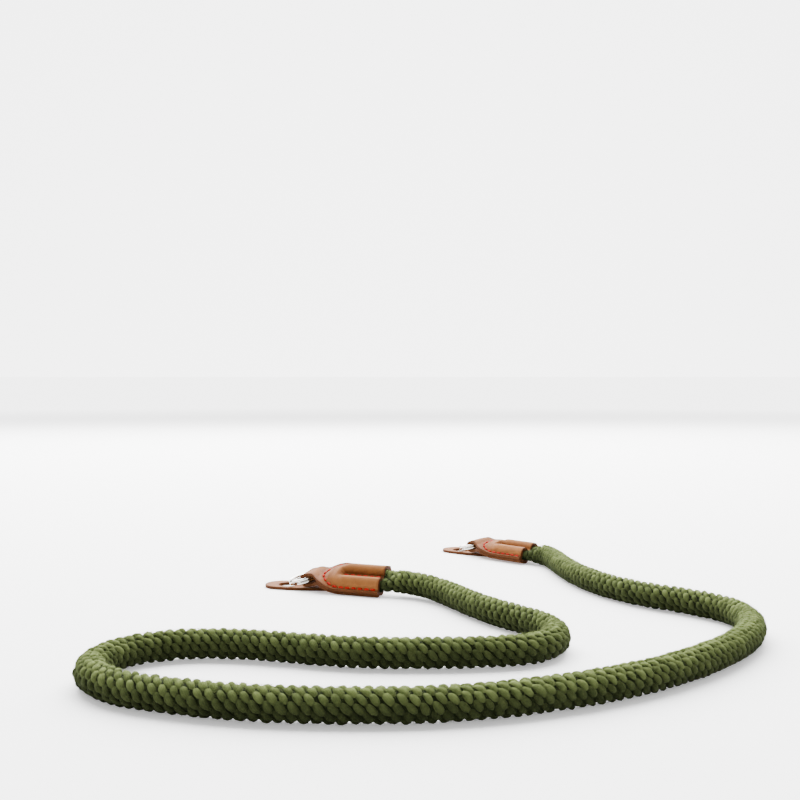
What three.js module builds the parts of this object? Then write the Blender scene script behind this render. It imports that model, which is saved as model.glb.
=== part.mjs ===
// Neck strap of soft round rope, with a leather tab, a split ring and a leather guard on each end.
// Millimetres, +Z up. It lies on the plane Z = 0, and the box round its two ends is centred on the Z axis.
import * as THREE from "three";

// Rope
const ROPE_DIAMETER = 12.5;
const ROPE_SIDES = 12;
const ROPE_STEPS = 68;
const CURVE_DIVISIONS = 2000;
const ROPE_TUCK = 30; // how far the rope reaches into a tab, from its mouth
const ROPE_EASE = 14; // outside the mouth, where the pressed end grows round
const ROPE_SETTLE = 48; // outside the mouth, where the rope comes down and loses the tab's roll

// Leather tab, measured along its middle from the mouth that the rope goes into
const TAB_THICKNESS = 1.6;
const TAB_BODY_LENGTH = 34; // mouth to the closed end of the seam
const TAB_BODY_WIDTH = 21.5;
const TAB_NECK_LENGTH = 6; // closed end of the seam to the ring's wire
const TAPER_LEAD = 4; // before the closed end of the seam, where the sides start to draw in
const EYE_LEAD = 0.6; // after the closed end of the seam, where the two layers start to part
const SEAM_INSET = 2.3; // from the leather's edge
const SEAM_END_LENGTH = 9; // the rounded closed end of the seam
const FRONT_SWELL = 4.1; // how far the rope lifts each layer of the tab
const BACK_SWELL = 2.4;
const SWELL_POWER = 2.6; // how square the swell is where no centre seam pulls it down

// Split ring: two turns of round wire
const RING_DIAMETER = 16; // outside
const RING_WIRE = 1.45;
const RING_TURN_GAP = 0.1;
const RING_NECK_ROOM = 0.75; // from the tab's neck to the wire on each side of it
const RING_CROSSOVER = 20; // degrees either side of the place where the wire steps to its second turn
const RING_WIRE_END = 27; // degrees either side of it where the wire's two cut ends are
const RING_CROSSOVER_AT = 62; // degrees from the outward direction
const RING_TILT = 13; // degrees, down towards the guard's round end

// Leather guard under the ring
const GUARD_THICKNESS = 1.6;
const GUARD_LENGTH = 40;
const GUARD_WIDTH = 18;
const GUARD_TAIL_RADIUS = 2.6;
const GUARD_HOLE_DIAMETER = 10.5;
const GUARD_HOLE_INSET = 13; // from the round end to the middle of the hole
const GUARD_OFFSET = 9; // from the middle of the ring to the middle of the hole

const CLEARANCE = 0.3; // between two pieces, and between the two layers of a tab
const SOFT_CLEARANCE = 0.5; // round the wire in the eye, and between the pressed rope and the leather

// How each end lies, in degrees: the roll of the tab's body and of its neck, towards -Y
const ENDS = [
  { side: "near", bodyRoll: 30, neckRoll: 6 },
  { side: "far", bodyRoll: 12, neckRoll: 4 },
];

// The rope's lay on the surface, from the near tab's mouth to the far tab's mouth: x and y of its middle
const ROUTE = [
  [-15, -68.7],
  [-3.4, -73.3],
  [7.3, -81.3],
  [16, -94.8],
  [25.2, -115.3],
  [35.7, -135.8],
  [47.2, -152.8],
  [55.3, -166.8],
  [58, -180.3],
  [54.2, -193.8],
  [44.3, -203.3],
  [30.7, -207.3],
  [5, -209.8],
  [-26.5, -208.3],
  [-54, -200.6],
  [-75, -195.7],
  [-94, -196.2],
  [-110.5, -204.3],
  [-120, -219.1],
  [-120, -237.3],
  [-109, -252.9],
  [-91, -263.2],
  [-58, -273.2],
  [-23.5, -276.4],
  [9.5, -274.2],
  [44, -263.4],
  [81, -243.2],
  [111, -217.2],
  [136, -185.2],
  [146.3, -157.8],
  [144, -133.8],
  [131.2, -114.8],
  [114.7, -98.7],
  [101.2, -78.8],
  [91.2, -52.3],
  [85.7, -22.3],
  [83, 6.7],
  [80.3, 16.7],
  [75, 23.9],
  [72.2, 26.7],
];

// Across a tab's pocket, from its middle to its side: how much of the swell each place has
const SWELL_ACROSS = [
  { across: 0, swell: 0.42 },
  { across: 0.2, swell: 0.72 },
  { across: 0.42, swell: 1 },
  { across: 0.62, swell: 0.9 },
  { across: 0.84, swell: 0.42 },
  { across: 1, swell: 0 },
];

// Along a tab's pocket, as shares of the body's length: the swell left, and how deep the centre seam pulls
const SWELL_ALONG = [
  { along: 0, swell: 1, valley: 1 },
  { along: 0.55, swell: 1, valley: 1 },
  { along: 0.72, swell: 0.9, valley: 0 },
  { along: 0.86, swell: 0.55, valley: 0 },
  { along: 1, swell: 0, valley: 0 },
];

const UP = new THREE.Vector3(0, 0, 1);
const radians = THREE.MathUtils.degToRad;
const ease = THREE.MathUtils.smoothstep;
const ropeRadius = ROPE_DIAMETER / 2;
const bodyHalf = TAB_BODY_WIDTH / 2;
const layerGap = CLEARANCE / 2;
const ringRadius = (RING_DIAMETER - RING_WIRE) / 2;
const ringHole = ringRadius - RING_WIRE / 2;
const turnOffset = (RING_WIRE + RING_TURN_GAP) / 2;
const neckHalf = ringHole - RING_NECK_ROOM;

// The eye that the neck makes round the ring's two turns of wire
const eyeMiddle = TAB_BODY_LENGTH + TAB_NECK_LENGTH;
const eyeStart = eyeMiddle - RING_WIRE / 2 - CLEARANCE;
const eyeHalfHeight = turnOffset + RING_WIRE / 2 + SOFT_CLEARANCE;
const wireLeavesNeck = eyeMiddle + ringRadius - Math.sqrt(ringHole ** 2 - neckHalf ** 2);
const foldReach = Math.sqrt(eyeHalfHeight ** 2 - turnOffset ** 2);
const foldMiddle = wireLeavesNeck + SOFT_CLEARANCE - foldReach;

// Shares of the body's length where the tab starts to rise to the ring, and to lose its roll
const RISE_FROM = 0.6;
const UNROLL_FROM = 0.7;

// The short step that slopes are measured over
const SHORT = 0.05;

// A value from a table, between two of its rows, without a corner at either
function fromTable(table, key, place, column) {
  const last = table.length - 1;
  const at = THREE.MathUtils.clamp(place, table[0][key], table[last][key]);
  const row = Math.min(last, Math.max(1, table.findIndex((entry) => entry[key] >= at)));
  const low = table[row - 1];
  const high = table[row];
  return THREE.MathUtils.lerp(low[column], high[column], ease(at, low[key], high[key]));
}

// A closed solid through loops of points. A loop's first half runs opposite its second half, so each end
// is capped by rungs from one half to the other.
function loft(loops) {
  const count = loops[0].length;
  const index = [];
  for (let ring = 0; ring < loops.length - 1; ring++) {
    for (let i = 0; i < count; i++) {
      const a = ring * count + i;
      const b = ring * count + ((i + 1) % count);
      index.push(a, b, b + count, a, b + count, a + count);
    }
  }
  const lastLoop = (loops.length - 1) * count;
  for (let i = 0; i < count / 2 - 1; i++) {
    const j = count - 1 - i;
    index.push(i, j, j - 1, i, j - 1, i + 1);
    index.push(lastLoop + i, lastLoop + j - 1, lastLoop + j, lastLoop + i, lastLoop + i + 1, lastLoop + j - 1);
  }
  const geometry = new THREE.BufferGeometry().setFromPoints(loops.flat());
  geometry.setIndex(index);
  if (signedVolume(geometry) < 0) geometry.setIndex(index.reverse());
  geometry.computeVertexNormals();
  return geometry;
}

function signedVolume(geometry) {
  const place = geometry.getAttribute("position");
  const corner = [0, 1, 2].map(() => new THREE.Vector3());
  let sum = 0;
  for (let i = 0; i < geometry.index.count; i += 3) {
    corner.forEach((point, k) => point.fromBufferAttribute(place, geometry.index.getX(i + k)));
    sum += corner[0].dot(corner[1].clone().cross(corner[2])) / 6;
  }
  return sum;
}

// Half the leather's width at a distance from the mouth
function halfWidth(along) {
  return THREE.MathUtils.lerp(bodyHalf, neckHalf, ease(along, TAB_BODY_LENGTH - TAPER_LEAD, foldMiddle));
}

// Half the pocket's width: it follows the seam and closes in a round end
function pocketHalf(along) {
  const open = bodyHalf - SEAM_INSET - layerGap;
  const into = THREE.MathUtils.clamp((along - TAB_BODY_LENGTH + SEAM_END_LENGTH) / SEAM_END_LENGTH, 0, 1);
  return open * Math.sqrt(1 - into ** 2);
}

// How far a layer's inner face stands off the tab's middle plane
function standOff(along, across, fullSwell) {
  const pocket = pocketHalf(along);
  const share = along / TAB_BODY_LENGTH;
  let swell = 0;
  if (Math.abs(across) < pocket) {
    const place = Math.abs(across) / pocket;
    const plain = 1 - place ** SWELL_POWER;
    const valley = fromTable(SWELL_ALONG, "along", share, "valley");
    const profile = THREE.MathUtils.lerp(plain, fromTable(SWELL_ACROSS, "across", place, "swell"), valley);
    swell = fullSwell * profile * fromTable(SWELL_ALONG, "along", share, "swell");
  }
  const eye = THREE.MathUtils.lerp(layerGap, eyeHalfHeight, ease(along, TAB_BODY_LENGTH + EYE_LEAD, eyeStart));
  return Math.max(layerGap + swell, eye);
}

// The inner and outer face of a layer at one place across it, the wall measured square to the inner face
function layerFaces(along, across, fullSwell) {
  const inner = standOff(along, across, fullSwell);
  const rise = standOff(along, across + SHORT, fullSwell) - standOff(along, across - SHORT, fullSwell);
  const slope = rise / (2 * SHORT);
  const wall = TAB_THICKNESS / Math.hypot(1, slope);
  return { inner, outer: inner + wall, shift: -slope * wall };
}

// Places across a layer, as shares of its half width, closer together where the rope lifts it
const ACROSS = [-1, -0.79, -0.66, -0.5, -0.34, -0.17, 0, 0.17, 0.34, 0.5, 0.66, 0.79, 1];
const ALONG_BODY = [0, 0.1, 0.2, 0.3, 0.4, 0.5, 0.58, 0.66, 0.74, 0.8, 0.86, 0.91, 0.96, 1];
const ALONG_NECK = [0.17, 0.34, 0.52, 0.76, 1];
const FOLD_STEPS = 6;

// How one end lies: where its mouth is, which way it points, and how its middle line rises to the ring.
// At each distance from the mouth it gives a frame: outward, across (lower side) and away from the surface.
class EndLay {
  constructor(mouth, inside, { bodyRoll, neckRoll }) {
    this.outward = new THREE.Vector3(mouth[0] - inside[0], mouth[1] - inside[1], 0).normalize();
    this.level = new THREE.Vector3().crossVectors(UP, this.outward);
    this.mouth = new THREE.Vector3(mouth[0], mouth[1], 0);
    this.bodyRoll = radians(bodyRoll);
    this.neckRoll = radians(neckRoll);
    this.tilt = radians(RING_TILT);
    this.bodyHeight = this.restingHeight();
    const lean = Math.cos(this.tilt) * Math.cos(this.neckRoll);
    const ringDrop = ringRadius * Math.sqrt(1 - lean ** 2) + turnOffset * lean + RING_WIRE / 2;
    this.ringHeight = GUARD_THICKNESS + CLEARANCE + ringDrop;
    this.eyeHeight = this.ringHeight + ringRadius * Math.sin(this.tilt);
    this.ringAlong = eyeMiddle + ringRadius * Math.cos(this.tilt);
  }

  // The height of the middle plane that sets the rolled body's lowest place on the surface
  restingHeight() {
    const depths = ACROSS.map((share) => {
      const faces = layerFaces(0, share * bodyHalf, BACK_SWELL);
      return (share * bodyHalf + faces.shift) * Math.sin(this.bodyRoll) + faces.outer * Math.cos(this.bodyRoll);
    });
    return Math.max(...depths);
  }

  roll(along) {
    if (along < 0) return this.bodyRoll * ease(along, -ROPE_SETTLE, 0);
    return THREE.MathUtils.lerp(this.bodyRoll, this.neckRoll, ease(along, UNROLL_FROM * TAB_BODY_LENGTH, eyeStart));
  }

  // Level along the body, then a smooth rise or fall into the ring's own slope
  height(along) {
    const start = RISE_FROM * TAB_BODY_LENGTH;
    const slope = -Math.tan(this.tilt);
    if (along <= start) return this.bodyHeight;
    if (along >= eyeMiddle) return this.eyeHeight + (along - eyeMiddle) * slope;
    const span = eyeMiddle - start;
    const t = (along - start) / span;
    const rise = this.eyeHeight - this.bodyHeight;
    return this.bodyHeight + rise * t * t * (3 - 2 * t) + slope * span * t * t * (t - 1);
  }

  frame(along) {
    const slope = (this.height(along + SHORT) - this.height(along - SHORT)) / (2 * SHORT);
    const outward = this.outward.clone().addScaledVector(UP, slope).normalize();
    const raised = new THREE.Vector3().crossVectors(outward, this.level);
    const roll = this.roll(along);
    const across = this.level.clone().multiplyScalar(Math.cos(roll)).addScaledVector(raised, -Math.sin(roll));
    const away = raised.multiplyScalar(Math.cos(roll)).addScaledVector(this.level, Math.sin(roll));
    const middle = this.mouth.clone().addScaledVector(this.outward, along).setZ(this.height(along));
    return { outward, across, away, middle };
  }

  point(frame, outward, across, away) {
    return frame.middle
      .clone()
      .addScaledVector(frame.outward, outward)
      .addScaledVector(frame.across, across)
      .addScaledVector(frame.away, away);
  }
}

// A tab is one strip: its front layer runs from the mouth to the neck, folds round the ring, and comes
// back to the mouth under the rope as its back layer.
function tabGeometry(lay) {
  const neckSpan = foldMiddle - TAB_BODY_LENGTH;
  const places = [
    ...ALONG_BODY.map((share) => share * TAB_BODY_LENGTH),
    ...ALONG_NECK.map((share) => TAB_BODY_LENGTH + share * neckSpan),
  ];
  const layer = (along, side, fullSwell) => {
    const frame = lay.frame(along);
    const half = halfWidth(along);
    const outer = [];
    const inner = [];
    for (const share of ACROSS) {
      const across = share * half;
      const faces = layerFaces(along, across, fullSwell);
      outer.push(lay.point(frame, 0, across + faces.shift, side * faces.outer));
      inner.push(lay.point(frame, 0, across, side * faces.inner));
    }
    return [...outer, ...inner.reverse()];
  };
  const fold = (angle) => {
    const frame = lay.frame(foldMiddle);
    const wall = (radius, share) =>
      lay.point(frame, radius * Math.sin(angle), share * neckHalf, radius * Math.cos(angle));
    const outer = ACROSS.map((share) => wall(eyeHalfHeight + TAB_THICKNESS, share));
    const inner = ACROSS.map((share) => wall(eyeHalfHeight, share));
    return [...outer, ...inner.reverse()];
  };
  const loops = places.map((along) => layer(along, 1, FRONT_SWELL));
  for (let i = 1; i < FOLD_STEPS; i++) loops.push(fold((Math.PI * i) / FOLD_STEPS));
  for (const along of places.toReversed()) loops.push(layer(along, -1, BACK_SWELL));
  return loft(loops);
}

// Two turns of wire, one on the other, with a step between them where the wire crosses over
const WIRE_SIDES = 8;
const RING_STEPS = 46;
function ringGeometry(lay) {
  const crossover = radians(RING_CROSSOVER);
  const start = radians(RING_WIRE_END);
  const end = 4 * Math.PI - start;
  const frame = lay.frame(eyeMiddle);
  const centre = frame.middle.clone().addScaledVector(frame.outward, ringRadius);
  const loops = [];
  for (let step = 0; step <= RING_STEPS; step++) {
    const turn = THREE.MathUtils.lerp(start, end, step / RING_STEPS);
    const height = turnOffset * (2 * ease(turn, 2 * Math.PI - crossover, 2 * Math.PI + crossover) - 1);
    const angle = turn + radians(RING_CROSSOVER_AT);
    const radial = frame.outward
      .clone()
      .multiplyScalar(Math.cos(angle))
      .addScaledVector(frame.across, Math.sin(angle));
    const middle = centre.clone().addScaledVector(radial, ringRadius).addScaledVector(frame.away, height);
    const loop = [];
    for (let i = 0; i < WIRE_SIDES; i++) {
      const round = ((i + 0.5) / WIRE_SIDES) * 2 * Math.PI;
      const out = (RING_WIRE / 2) * Math.cos(round);
      const away = (RING_WIRE / 2) * Math.sin(round);
      loop.push(middle.clone().addScaledVector(radial, out).addScaledVector(frame.away, away));
    }
    loops.push(loop);
  }
  return loft(loops);
}

// A flat almond with a round end, a narrow tail and a hole, cut from one sheet. Its sides leave the round
// end level and reach the tail on a slant: the pulls are shares of the span between, and of half the width.
const SIDE_PULL = 0.42;
const TAIL_PULL = { along: 0.3, out: 0.24 };
const GUARD_SEGMENTS = 14;
function guardGeometry() {
  const half = GUARD_WIDTH / 2;
  const roundMiddle = GUARD_HOLE_INSET - half;
  const tailMiddle = GUARD_HOLE_INSET - GUARD_LENGTH + GUARD_TAIL_RADIUS;
  const span = roundMiddle - tailMiddle;
  const sideX = roundMiddle - SIDE_PULL * span;
  const tailX = tailMiddle + TAIL_PULL.along * span;
  const tailY = GUARD_TAIL_RADIUS + TAIL_PULL.out * half;
  const outline = new THREE.Shape();
  outline.absarc(roundMiddle, 0, half, -Math.PI / 2, Math.PI / 2, false);
  outline.bezierCurveTo(sideX, half, tailX, tailY, tailMiddle, GUARD_TAIL_RADIUS);
  outline.absarc(tailMiddle, 0, GUARD_TAIL_RADIUS, Math.PI / 2, (3 * Math.PI) / 2, false);
  outline.bezierCurveTo(tailX, -tailY, sideX, -half, roundMiddle, -half);
  const hole = new THREE.Path();
  hole.absarc(0, 0, GUARD_HOLE_DIAMETER / 2, 0, 2 * Math.PI, true);
  outline.holes.push(hole);
  const flat = { depth: GUARD_THICKNESS, bevelEnabled: false, curveSegments: GUARD_SEGMENTS };
  return new THREE.ExtrudeGeometry(outline, flat);
}

// The rope's section where the tab presses it: the pocket's own shape, held clear of the leather
const PRESSED = [-0.96, -0.72, -0.45, 0, 0.45, 0.72, 0.96];
function pressedSection(along) {
  const inset = pocketHalf(along) - CLEARANCE;
  const top = PRESSED.slice(1, -1).map((share) => {
    const across = share * inset;
    return [across, standOff(along, across, FRONT_SWELL) - SOFT_CLEARANCE];
  });
  const bottom = PRESSED.slice(1, -1).map((share) => {
    const across = share * inset;
    return [across, SOFT_CLEARANCE - standOff(along, across, BACK_SWELL)];
  });
  const edge = (share) => [share * inset, 0];
  return [edge(PRESSED[0]), ...top, edge(PRESSED.at(-1)), ...bottom.reverse()];
}

function roundSection() {
  const reach = ropeRadius / Math.cos(Math.PI / ROPE_SIDES);
  const section = [];
  for (let i = 0; i < ROPE_SIDES; i++) {
    const angle = Math.PI - (2 * Math.PI * i) / ROPE_SIDES;
    section.push([reach * Math.cos(angle), reach * Math.sin(angle)]);
  }
  return section;
}

// Places on the stretch where the rope grows round, as shares of its length
const GROWING = [0, 0.2, 0.45];

// The rope lies along the route. Each end runs up into its tab, pressed to the shape of the pocket.
function ropeGeometry(lays) {
  const curve = new THREE.CatmullRomCurve3(ROUTE.map(([x, y]) => new THREE.Vector3(x, y, 0)), false, "centripetal");
  curve.arcLengthDivisions = CURVE_DIVISIONS;
  const length = curve.getLength();
  const swellMiddle = (FRONT_SWELL - BACK_SWELL) / 2;
  const round = roundSection();
  const pressed = pressedSection(0);
  const places = ALONG_BODY.map((share) => share * TAB_BODY_LENGTH);
  const tucked = places.filter((along) => along > 0 && along < ROPE_TUCK);
  const inside = (lay, mirror) => (along) => {
    const frame = lay.frame(along);
    return pressedSection(along).map(([across, away]) => lay.point(frame, 0, mirror * across, away));
  };
  const free = (distance) => {
    const share = distance / length;
    const near = distance < length / 2;
    const lay = near ? lays[0] : lays[1];
    const fromMouth = near ? distance : length - distance;
    const outward = curve.getTangentAt(share).multiplyScalar(near ? -1 : 1);
    const level = new THREE.Vector3().crossVectors(UP, outward);
    const roll = lay.roll(-fromMouth);
    const across = level.clone().multiplyScalar(Math.cos(roll)).addScaledVector(UP, -Math.sin(roll));
    const away = UP.clone().multiplyScalar(Math.cos(roll)).addScaledVector(level, Math.sin(roll));
    const raised = lay.bodyHeight + swellMiddle * Math.cos(lay.bodyRoll);
    const settled = ease(fromMouth, 0, ROPE_SETTLE);
    const middle = curve.getPointAt(share).setZ(THREE.MathUtils.lerp(raised, ropeRadius, settled));
    middle.addScaledVector(level, swellMiddle * Math.sin(lay.bodyRoll) * (1 - settled));
    const grown = ease(fromMouth, 0, ROPE_EASE);
    const loop = round.map(([x, y], i) => {
      const wide = THREE.MathUtils.lerp(pressed[i][0], x, grown);
      const high = THREE.MathUtils.lerp(pressed[i][1] - swellMiddle, y, grown);
      return middle.clone().addScaledVector(across, near ? wide : -wide).addScaledVector(away, high);
    });
    const sunk = Math.min(0, ...loop.map((point) => point.z));
    loop.forEach((point) => (point.z -= sunk));
    return loop;
  };
  const loops = tucked.toReversed().map(inside(lays[0], 1));
  const growing = GROWING.map((share) => share * ROPE_EASE);
  for (const distance of growing) loops.push(free(distance));
  for (let step = 0; step <= ROPE_STEPS; step++) {
    loops.push(free(THREE.MathUtils.lerp(ROPE_EASE, length - ROPE_EASE, step / ROPE_STEPS)));
  }
  for (const distance of growing.toReversed()) loops.push(free(length - distance));
  loops.push(...tucked.map(inside(lays[1], -1)));
  return loft(loops);
}

const cotton = new THREE.MeshStandardMaterial({ color: 0x566f33, roughness: 0.95, metalness: 0 });
const tanLeather = new THREE.MeshStandardMaterial({ color: 0xb07a4a, roughness: 0.7, metalness: 0 });
const nickel = new THREE.MeshStandardMaterial({ color: 0xc9ccd0, roughness: 0.15, metalness: 1 });

function piece(name, geometry, material) {
  const mesh = new THREE.Mesh(geometry, material);
  mesh.name = name;
  return mesh;
}

const mouths = [
  { mouth: ROUTE[0], inside: ROUTE[1] },
  { mouth: ROUTE.at(-1), inside: ROUTE.at(-2) },
];
const lays = ENDS.map((end, i) => new EndLay(mouths[i].mouth, mouths[i].inside, end));
const ends = new THREE.Group();
ENDS.forEach(({ side }, i) => {
  const lay = lays[i];
  ends.add(piece(`tab_${side}`, tabGeometry(lay), tanLeather));
  ends.add(piece(`ring_${side}`, ringGeometry(lay), nickel));
  const guard = piece(`guard_${side}`, guardGeometry(), tanLeather);
  guard.position.copy(lay.mouth).addScaledVector(lay.outward, lay.ringAlong + GUARD_OFFSET);
  guard.rotation.z = Math.atan2(lay.outward.y, lay.outward.x);
  ends.add(guard);
});

const strap = new THREE.Group();
strap.add(piece("rope", ropeGeometry(lays), cotton));
strap.add(ends);
const middle = new THREE.Box3().setFromObject(ends, true).getCenter(new THREE.Vector3());
strap.position.set(-middle.x, -middle.y, 0);

export default strap;
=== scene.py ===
import math

import bpy
import numpy as np
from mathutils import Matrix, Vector


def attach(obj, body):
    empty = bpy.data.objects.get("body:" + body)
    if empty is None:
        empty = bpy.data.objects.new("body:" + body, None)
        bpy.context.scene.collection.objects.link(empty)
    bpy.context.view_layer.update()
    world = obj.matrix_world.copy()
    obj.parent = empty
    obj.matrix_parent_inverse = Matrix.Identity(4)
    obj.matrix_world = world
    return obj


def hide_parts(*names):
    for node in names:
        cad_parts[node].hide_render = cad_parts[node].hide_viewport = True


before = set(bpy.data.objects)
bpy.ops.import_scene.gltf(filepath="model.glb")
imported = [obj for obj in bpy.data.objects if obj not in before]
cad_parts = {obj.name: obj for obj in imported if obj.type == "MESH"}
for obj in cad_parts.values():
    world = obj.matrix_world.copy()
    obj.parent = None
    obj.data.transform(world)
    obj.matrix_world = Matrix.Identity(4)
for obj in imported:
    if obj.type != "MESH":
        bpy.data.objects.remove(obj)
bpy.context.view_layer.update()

# Camera
# It stands low in front of the strap, at the height of a small tripod, and looks slightly down. Its place,
# tilt and lens are those at which the rope's lay falls on the photo's.
MM = 0.001
CAMERA_PLACE = (-7.0 * MM, -628.7 * MM, 115 * MM)
CAMERA_DOWN = 1.38
camera = bpy.data.cameras.new("camera")
camera.lens = 48.6
camera.sensor_width = 36
camera.clip_start = 10 * MM
camera_object = bpy.data.objects.new("camera", camera)
camera_object.location = CAMERA_PLACE
camera_object.rotation_euler = (math.radians(90 - CAMERA_DOWN), 0, 0)
bpy.context.scene.collection.objects.link(camera_object)
bpy.context.scene.camera = camera_object

# Rope
# One thick, soft cotton rope, solid-braided in olive green. It lies loose on the surface in a wide bend and
# is pressed flat where each leather tab is sewn over its end.
ROPE_DIAMETER = 12.5 * MM
ROPE_TUCK = 30 * MM
ROPE_EASE = 11 * MM
ROPE_SETTLE = 48 * MM

# The rope's lay on the surface, from the near tab's mouth to the far tab's: x and y of its middle
ROUTE = [
    (-0.0150, -0.0687), (-0.0034, -0.0733), (0.0073, -0.0813), (0.0160, -0.0948), (0.0252, -0.1153),
    (0.0357, -0.1358), (0.0472, -0.1528), (0.0553, -0.1668), (0.0580, -0.1803), (0.0542, -0.1938),
    (0.0443, -0.2033), (0.0307, -0.2073), (0.0050, -0.2098), (-0.0265, -0.2083), (-0.0540, -0.2006),
    (-0.0750, -0.1957), (-0.0940, -0.1962), (-0.1105, -0.2043), (-0.1200, -0.2191), (-0.1200, -0.2373),
    (-0.1090, -0.2529), (-0.0910, -0.2632), (-0.0580, -0.2732), (-0.0235, -0.2764), (0.0095, -0.2742),
    (0.0440, -0.2634), (0.0810, -0.2432), (0.1110, -0.2172), (0.1360, -0.1852), (0.1463, -0.1578),
    (0.1440, -0.1338), (0.1312, -0.1148), (0.1147, -0.0987), (0.1012, -0.0788), (0.0912, -0.0523),
    (0.0857, -0.0223), (0.0830, 0.0067), (0.0803, 0.0167), (0.0750, 0.0239), (0.0722, 0.0267),
]

# The tab that presses the rope's end, and the ring and guard that the tab rests on
BODY_LENGTH = 34 * MM
BODY_WIDTH = 21.5 * MM
NECK_LENGTH = 6 * MM
EYE_LEAD = 0.6 * MM
SEAM_INSET = 2.3 * MM
SEAM_END_LENGTH = 9 * MM
FRONT_SWELL = 4.1 * MM
BACK_SWELL = 2.4 * MM
CLEARANCE = 0.3 * MM
SOFT_CLEARANCE = 0.5 * MM
LEATHER = 1.6 * MM
GUARD_THICKNESS = 1.6 * MM
RING_DIAMETER = 16 * MM
RING_WIRE = 1.45 * MM
RING_TURN_GAP = 0.1 * MM
RING_NECK_ROOM = 0.75 * MM
RING_TILT = math.radians(13)

# Shares of the tab's body after which its middle line rises to the ring and its roll is lost
RISE_START = 0.6
UNROLL_START = 0.7

# How leather and rope swell: shares of the way across or along the pocket, and the share of the swell at each
SWELL_POWER = 2.6
SWELL_ACROSS = ([0, 0.23, 0.48, 0.62, 0.76, 0.97], [0.20, 0.27, 0.94, 1, 0.80, 0])
SWELL_ALONG = ([0, 0.55, 0.72, 0.86, 1], [1, 1, 0.9, 0.55, 0])
ROPE_ACROSS = ([0, 0.2, 0.42, 0.62, 0.84, 1], [0.62, 0.82, 1, 0.94, 0.55, 0])
VALLEY_ALONG = ([0, 0.62, 0.76, 0.86, 1], [1, 1, 0, 0, 0])

UP = np.array([0.0, 0.0, 1.0])
SHORT = 0.05 * MM
SPAN_STEPS = 60
rope_radius = ROPE_DIAMETER / 2
body_half = BODY_WIDTH / 2
ring_radius = (RING_DIAMETER - RING_WIRE) / 2
turn_offset = (RING_WIRE + RING_TURN_GAP) / 2
neck_half = ring_radius - RING_WIRE / 2 - RING_NECK_ROOM
eye_middle = BODY_LENGTH + NECK_LENGTH
eye_start = eye_middle - RING_WIRE / 2 - CLEARANCE
eye_half_height = turn_offset + RING_WIRE / 2 + SOFT_CLEARANCE
wire_leaves_neck = eye_middle + ring_radius - math.sqrt((ring_radius - RING_WIRE / 2) ** 2 - neck_half**2)
fold_middle = wire_leaves_neck + SOFT_CLEARANCE - math.sqrt(eye_half_height**2 - turn_offset**2)


def ease(value, low, high):
    t = np.clip((value - low) / (high - low), 0, 1)
    return t * t * (3 - 2 * t)


def from_table(table, place):
    """A value between two rows of a table, without a corner at either."""
    keys, values = table
    row = int(np.clip(np.searchsorted(keys, place), 1, len(keys) - 1))
    return values[row - 1] + (values[row] - values[row - 1]) * ease(place, keys[row - 1], keys[row])


def pocket_half(along):
    """Half the width of the pocket that the rope's end sits in: it closes in a round end."""
    into = np.clip((along - BODY_LENGTH + SEAM_END_LENGTH) / SEAM_END_LENGTH, 0, 1)
    return (body_half - SEAM_INSET - CLEARANCE / 2) * math.sqrt(1 - into**2)


def stand_off(along, across, full_swell):
    """How far the inner face of a layer of leather stands off the tab's middle plane."""
    pocket = pocket_half(along)
    swell = 0
    if abs(across) < pocket:
        place = abs(across) / pocket
        share = along / BODY_LENGTH
        valley = from_table(VALLEY_ALONG, share)
        profile = (1 - valley) * (1 - place**SWELL_POWER) + valley * from_table(SWELL_ACROSS, place)
        swell = full_swell * profile * from_table(SWELL_ALONG, share)
    eye_share = ease(along, BODY_LENGTH + EYE_LEAD, eye_start)
    eye = CLEARANCE / 2 * (1 - eye_share) + eye_half_height * eye_share
    return max(CLEARANCE / 2 + swell, eye)


def layer_faces(along, across, full_swell):
    """Inner face, outer face and sideways shift of a layer, its wall measured square to the inner face."""
    rise = stand_off(along, across + SHORT, full_swell) - stand_off(along, across - SHORT, full_swell)
    slope = rise / (2 * SHORT)
    wall = LEATHER / math.hypot(1, slope)
    inner = stand_off(along, across, full_swell)
    return inner, inner + wall, -slope * wall


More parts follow.
